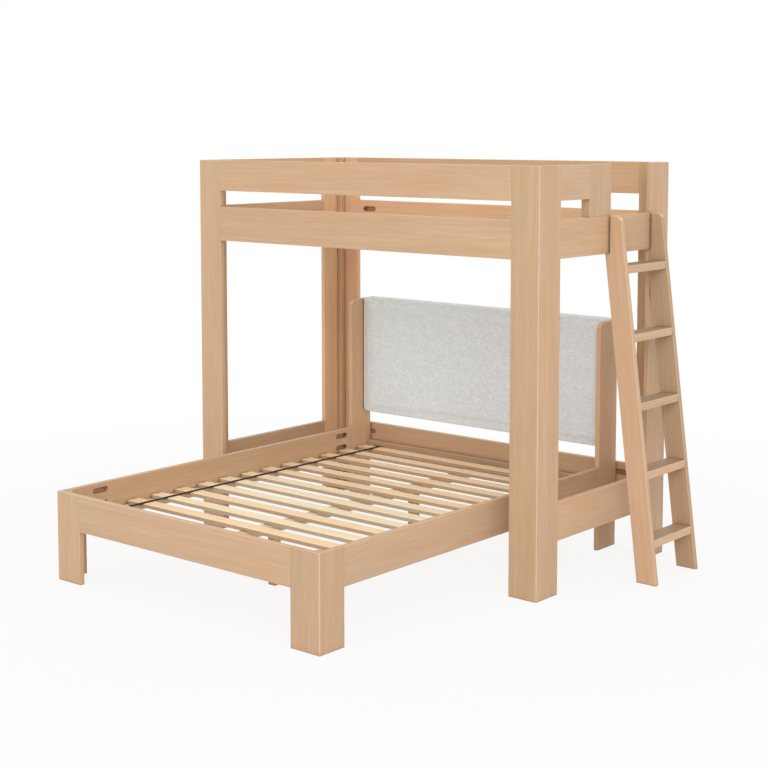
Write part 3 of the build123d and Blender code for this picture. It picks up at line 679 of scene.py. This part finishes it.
# Cloth: slubs along the weft and the warp, a cloudy mottle, darker flecks, and a plain weave
WEFT_SCALE, WEFT_SHARE = (46.0, 46.0, 200.0), 0.42
WARP_SCALE, WARP_SHARE = (200.0, 120.0, 46.0), 0.34
CLOUD_SCALE, CLOUD_SHARE = 140.0, 0.24
FLECK_SCALE, FLECK_RANGE, FLECK_SHARE = (260.0, 260.0, 420.0), (0.66, 0.74), 0.30
HEATHER_RANGE = (0.38, 0.62)
CLOTH_PITCH, CLOTH_WEAVE_SHARE = 0.0016, 0.5


def cover_profile(depth):
    """The cover's section, from the front face's edge round to the hem's cut edge behind, as
    (outwards, backwards) pairs."""
    profile = []
    for step in range(1, COVER_RIM_STEPS + 1):
        turn = QUARTER * step / COVER_RIM_STEPS
        profile.append((COVER_RIM * math.sin(turn), COVER_RIM * (1 - math.cos(turn))))
    for step in range(1, COVER_SIDE_STEPS + 1):
        share = step / COVER_SIDE_STEPS
        profile.append((COVER_RIM, COVER_RIM + (depth - COVER_BACK_RIM - COVER_RIM) * share))
    bend = COVER_BACK_RIM * COVER_BACK_BEND
    profile.append((COVER_RIM - bend, depth - bend))
    profile.append((COVER_RIM - COVER_BACK_RIM, depth))
    behind = depth + COVER_CLOTH
    for step in range(1, COVER_HEM_STEPS + 1):
        inwards = COVER_RIM - COVER_BACK_RIM - COVER_HEM * step / COVER_HEM_STEPS
        profile.append((inwards, behind))
    profile.append((inwards - COVER_CLOTH * COVER_CUT_IN, behind - COVER_CLOTH * COVER_CUT_DOWN))
    return profile


def cover_mesh():
    """A closed front and sides with a hem behind, as quads of about one cell, and the numbers of
    the points that stay fixed to the board."""
    low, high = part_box("headboard_pad")
    low.x -= COVER_SIDE_REACH
    high.x += COVER_SIDE_REACH
    front = low.y + COVER_SWELL
    inner_low = Vector((low.x + COVER_RIM, 0, low.z + COVER_RIM))
    inner_high = Vector((high.x - COVER_RIM, 0, high.z - COVER_RIM))
    wide = round((inner_high.x - inner_low.x) / COVER_CELL)
    tall = round((inner_high.z - inner_low.z) / COVER_CELL)
    verts = []
    faces = []

    def spot(i, j):
        x = inner_low.x + (inner_high.x - inner_low.x) * i / wide
        z = inner_low.z + (inner_high.z - inner_low.z) * j / tall
        return x, z

    for j in range(tall + 1):
        for i in range(wide + 1):
            x, z = spot(i, j)
            verts.append((x, front, z))
    row = wide + 1
    for j in range(tall):
        for i in range(wide):
            a = j * row + i
            faces.append((a, a + 1, a + row + 1, a + row))
    rim = [(i, 0) for i in range(wide)] + [(wide, j) for j in range(tall)]
    rim += [(i, tall) for i in range(wide, 0, -1)] + [(0, j) for j in range(tall, 0, -1)]
    count = len(rim)
    before = [j * row + i for i, j in rim]
    pinned = []
    for number, (out, back) in enumerate(cover_profile(high.y - front)):
        ring = []
        for i, j in rim:
            x, z = spot(i, j)
            push = Vector(((i == wide) - (i == 0), (j == tall) - (j == 0)))
            # A corner turns as a quarter round while the edge swings out, and is mitred in the hem
            length = push.length if out > 0 else 1.0
            ring.append(len(verts))
            verts.append((x + push.x * out / length, front + back, z + push.y * out / length))
        for k in range(count):
            n = (k + 1) % count
            faces.append((before[k], ring[k], ring[n], before[n]))
        if number >= COVER_RIM_STEPS + COVER_SIDE_STEPS:
            pinned += ring
        before = ring
    mesh = bpy.data.meshes.new("headboard_cover")
    mesh.from_pydata(verts, [], faces)
    mesh.update()
    return mesh, pinned


def swell(thing, pinned, frames, limits):
    """Blows the cloth up from inside, holds the pinned points, and caps how far a point may go
    along each axis."""
    group = thing.vertex_groups.new(name="pin")
    group.add(pinned, 1.0, "REPLACE")
    start = [v.co.copy() for v in thing.data.vertices]
    cloth = thing.modifiers.new("cloth", "CLOTH")
    for name, value in CLOTH_SETTINGS.items():
        setattr(cloth.settings, name, value)
    cloth.settings.effector_weights.gravity = 0.0
    cloth.point_cache.frame_start = 1
    cloth.point_cache.frame_end = frames
    for number in range(1, frames + 1):
        scene.frame_set(number)
    solved = thing.evaluated_get(bpy.context.evaluated_depsgraph_get())
    moved = [v.co.copy() for v in solved.data.vertices]
    thing.modifiers.remove(cloth)
    for vertex, old, new in zip(thing.data.vertices, start, moved):
        step = [max(-limit, min(limit, n - o)) for n, o, limit in zip(new, old, limits)]
        vertex.co = old + Vector(step)
    thing.vertex_groups.remove(group)
    scene.frame_set(1)


def cloth_material():
    """Heathered linen look: slubs both ways, a plain weave, and a soft sheen."""
    m = Material("heather_cloth", roughness=0.95, specular=0.15, sheen=0.9)
    m.set("Sheen Tint", CLOTH_SHEEN)
    x, y, z = m.parts(m.place)
    weft = m.noise(m.place, WEFT_SCALE, detail=1.5)
    warp = m.noise(m.place, WARP_SCALE, detail=1.5)
    cloud = m.noise(m.place, CLOUD_SCALE, detail=3.0, rough=0.7)
    fleck = m.noise(m.place, FLECK_SCALE, detail=1.0)
    heather = m.math("ADD", m.blend(weft, WEFT_SHARE, warp, WARP_SHARE),
                     m.math("MULTIPLY", cloud, CLOUD_SHARE))
    color = m.mix(m.remap(heather, *HEATHER_RANGE), CLOTH_DARK, CLOTH_LIGHT)
    flecked = m.math("MULTIPLY", m.remap(fleck, *FLECK_RANGE), FLECK_SHARE)
    m.set("Base Color", m.mix(flecked, color, CLOTH_FLECK))
    # The threads run along X and Z in front, and turn with the cloth at the sides
    over = m.wave(m.math("ADD", x, y), CLOTH_PITCH)
    under = m.wave(m.math("ADD", z, y), CLOTH_PITCH)
    weave = m.math("MULTIPLY", m.math("MULTIPLY", over, under), CLOTH_WEAVE_SHARE)
    weave = m.math("ADD", weave, heather)
    m.bump(weave, depth=0.0004, strength=0.6)
    return m


def headboard():
    mesh, pinned = cover_mesh()
    thing = link("headboard_cover", mesh, "low_bed")
    swell(thing, pinned, COVER_FRAMES, (COVER_SIDE_SWELL, COVER_SWELL, COVER_SWELL))
    smooth(thing.data)
    level = thing.modifiers.new("smooth", "SUBSURF")
    level.levels = 1
    level.render_levels = 1
    cloth_material().wear(thing)
    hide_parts("headboard_pad")


# Straps along the slats
STRAP_WIDTH = 0.025
STRAP_SAG = 0.0004
STRAP_STEP = 0.0062
STRAP_EDGE_STEPS = 3
STRAP_HOLLOW = 0.00035
# Where the profile has its other points, as shares of the way out to the selvedge
STRAP_TOP_POINTS, STRAP_UNDER_POINTS = (0.86, 0.0, -0.86), (-0.5, 0.5)
STRAP_RIB_PITCH, STRAP_PICK_PITCH = 0.0022, 0.0014


def strap_profile(thick):
    """Half-round selvedges with a slightly thinner band between them: (across, up) pairs, all
    round."""
    bead = thick / 2
    reach = STRAP_WIDTH / 2 - bead
    right = []
    for step in range(2 * STRAP_EDGE_STEPS + 1):
        turn = QUARTER * (step / STRAP_EDGE_STEPS - 1)
        right.append((reach + bead * math.cos(turn), bead + bead * math.sin(turn)))
    over = [(reach * share, thick - STRAP_HOLLOW) for share in STRAP_TOP_POINTS]
    left = [(-across, up) for across, up in reversed(right)]
    under = [(reach * share, 0.0) for share in STRAP_UNDER_POINTS]
    return right + over + left + under


def strap_sag(y, first):
    """How far a strap hangs at one place: 0 on a slat, and most halfway to the next."""
    along = (y - first) % SLAT_PITCH
    if along <= SLAT_WIDTH:
        return 0.0
    share = (along - SLAT_WIDTH) / (SLAT_PITCH - SLAT_WIDTH)
    return STRAP_SAG * 4 * share * (1 - share)


def strap_centres():
    """Where the two straps lie across the bed."""
    low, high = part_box("slat_straps")
    return low.x + STRAP_WIDTH / 2, high.x - STRAP_WIDTH / 2


def strap_rings(centre):
    """A strap's profile at each step along it, lowered where it hangs."""
    low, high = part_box("slat_straps")
    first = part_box("bed_slats")[0].y
    profile = strap_profile(high.z - low.z)
    steps = round((high.y - low.y) / STRAP_STEP)
    for step in range(steps + 1):
        y = low.y + (high.y - low.y) * step / steps
        sag = strap_sag(y, first)
        yield [(centre + across, y, low.z + up - sag) for across, up in profile]


def strap_material():
    """Dark webbing, ribbed along its length."""
    m = Material("strap", roughness=0.85, specular=0.15, sheen=0.05)
    x, y = m.parts(m.place)[:2]
    weave = m.math("MULTIPLY", m.wave(x, STRAP_RIB_PITCH), m.wave(y, STRAP_PICK_PITCH))
    m.set("Base Color", m.mix(m.remap(weave, -1.0, 1.0), STRAP_DARK, STRAP_LIGHT))
    m.bump(weave, depth=0.0003, strength=0.7)
    return m


def straps():
    """Two webbing straps that lie on the slats and hang a little between them."""
    made = bmesh.new()
    for centre in strap_centres():
        sweep(made, strap_rings(centre))
    mesh = finished(made, "webbing_straps")
    thing = link("webbing_straps", mesh, "low_bed")
    smooth(mesh)
    strap_material().wear(thing)
    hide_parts("slat_straps")


# Staples in the straps and in the cover's hem. The wire is broad and thin.
STAPLE_WIDE = 0.0105
STAPLE_LEG = 0.004
STAPLE_WIRE = (0.0012, 0.0006)
STAPLE_BEND = 0.0005
# Where a strap starts and ends it has two staples, this far each side of the slat's middle
STAPLE_PAIR = 0.012
HEM_STAPLE_PITCH = 0.042
HEM_STAPLE_PLACE = 0.55
# Hem staples are shot by hand: how far one may tilt, and how the tilt changes along a row and
# from row to row
STAPLE_TILT, STAPLE_TILT_STEP, STAPLE_TILT_ROW = 0.14, 2.7, 40
PLATE_INSET, PLATE_CLEAR = 0.110, 0.030


def staple_rings(place, along, out):
    """A wire bridge whose crown lies along one way and whose legs go in."""
    side = along.cross(out)
    half, (broad, thin) = STAPLE_WIDE / 2, STAPLE_WIRE
    route = [(-half, -STAPLE_LEG, 1.0, 0.0), (-half, -STAPLE_BEND, 1.0, 0.0),
             (-half + STAPLE_BEND, 0.0, 0.0, 1.0), (half - STAPLE_BEND, 0.0, 0.0, 1.0),
             (half, -STAPLE_BEND, -1.0, 0.0), (half, -STAPLE_LEG, -1.0, 0.0)]
    for x, up, inner_x, outer_up in route:
        centre = place + along * x + out * up
        # The wire's thin way points away from the wood on the crown, and outwards on the legs
        thin_way = out * outer_up - along * inner_x
        yield [centre + side * (a * broad / 2) + thin_way * (b * thin / 2)
               for a, b in ((-1, -1), (1, -1), (1, 1), (-1, 1))]


def strap_staples(made):
    """One across each strap on each slat, and two where it starts and ends."""
    first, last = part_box("bed_slats")[0].y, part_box("bed_slats")[1].y
    count = round((last - first - SLAT_WIDTH) / SLAT_PITCH) + 1
    across, up = Vector((1, 0, 0)), Vector((0, 0, 1))
    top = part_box("slat_straps")[1].z - STRAP_HOLLOW + STAPLE_WIRE[1] / 2
    for centre in strap_centres():
        for number in range(count):
            middle = first + SLAT_WIDTH / 2 + SLAT_PITCH * number
            ends = number in (0, count - 1)
            for y in ((middle - STAPLE_PAIR, middle + STAPLE_PAIR) if ends else (middle,)):
                sweep(made, staple_rings(Vector((centre, y, top)), across, up))


def hem_staples(made):
    """A row along each side of the hem, clear of the plates at the upright sides."""
    low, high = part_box("headboard_pad")
    inset = COVER_HEM * HEM_STAPLE_PLACE
    y = high.y + COVER_CLOTH + STAPLE_WIRE[1] / 2
    out = Vector((0, 1, 0))
    rows = [(False, low.x, high.x, low.z + inset), (False, low.x, high.x, high.z - inset),
            (True, low.z, high.z, low.x + inset), (True, low.z, high.z, high.x - inset)]
    for upright, start, end, fixed in rows:
        room = end - start - 2 * HEM_STAPLE_PITCH
        count = round(room / HEM_STAPLE_PITCH)
        for number in range(count + 1):
            spot = start + HEM_STAPLE_PITCH + room * number / count
            plate = min(abs(spot - start - PLATE_INSET), abs(end - PLATE_INSET - spot))
            if upright and plate < PLATE_CLEAR:
                continue
            tilt = STAPLE_TILT * math.sin(number * STAPLE_TILT_STEP + fixed * STAPLE_TILT_ROW)
            place, way = Vector((spot, y, fixed)), Vector((math.cos(tilt), 0, math.sin(tilt)))
            if upright:
                place, way = Vector((fixed, y, spot)), Vector((-way.z, 0, way.x))
            sweep(made, staple_rings(place, way, out))


def staples(metal):
    made = bmesh.new()
    strap_staples(made)
    hem_staples(made)
    metal.wear(link("staples", finished(made, "staples"), "low_bed"))


stage()
dress_wood()
plywood().wear(nodes["headboard_core"])
zinc = steel("zinc", ZINC, ZINC_DARK, roughness=0.34, metallic=1.0)
zinc.wear(nodes["headboard_plates"])
steel("brown_steel", BROWN_STEEL, BROWN_STEEL_DARK, roughness=0.55, metallic=0.0).wear(
    nodes["ladder_spacers"])
steel("bronzed_steel", BRONZE, BRONZE_DARK, roughness=0.42, metallic=0.2).wear(
    *[nodes[n] for n in ("loft_bolts", "loft_inserts", "bed_bolts", "bed_inserts",
                         "upper_slat_screws", "bed_screws")])
headboard()
straps()
staples(zinc)
